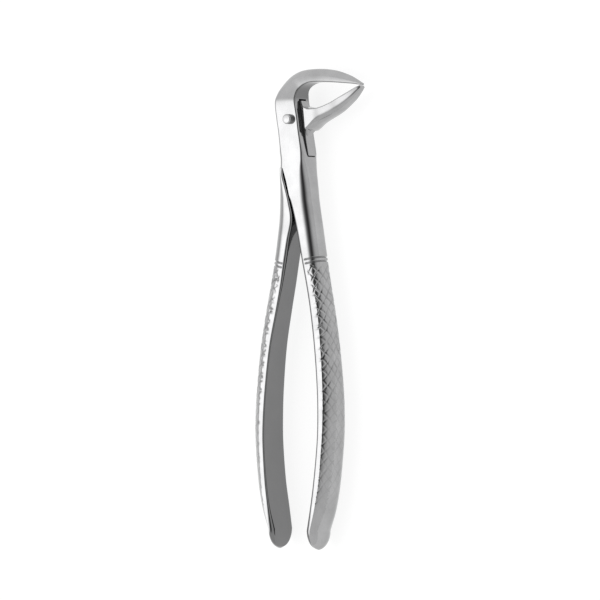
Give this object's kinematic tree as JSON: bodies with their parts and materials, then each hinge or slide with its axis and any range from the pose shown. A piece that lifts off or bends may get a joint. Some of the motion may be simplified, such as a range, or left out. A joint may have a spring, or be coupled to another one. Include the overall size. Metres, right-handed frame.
{
  "type": "extraction forceps",
  "caption": "Steel tooth extraction forceps: through box joint, beaks bent at a right angle to the handles and meeting at fine tips, two bowed handles with hatched backs.",
  "frame": {"origin": "centre of the rivet's flat tail face, on the pivot axis, in the plane that the tool lies on", "axes": "+Z along the pivot axis, up from the surface the tool lies on; +Y from the handle ends to the head; +X the way the beaks point"},
  "size_m": [0.0452, 0.17, 0.0132],
  "materials": {
    "forged_steel": "satin and bright polished stainless steel",
    "rivet_steel": "bright polished stainless steel"
  },
  "bodies": {
    "box_arm": {"box_arm": "forged_steel", "pivot_rivet": "rivet_steel"},
    "tongue_arm": {"tongue_arm": "forged_steel"}
  },
  "joints": [
    {"name": "pivot", "type": "hinge", "parent": "box_arm", "child": "tongue_arm", "pos_m": [0, 0, 0.0066], "axis": [0, 0, -1], "range_deg": [0, 22]}
  ]
}
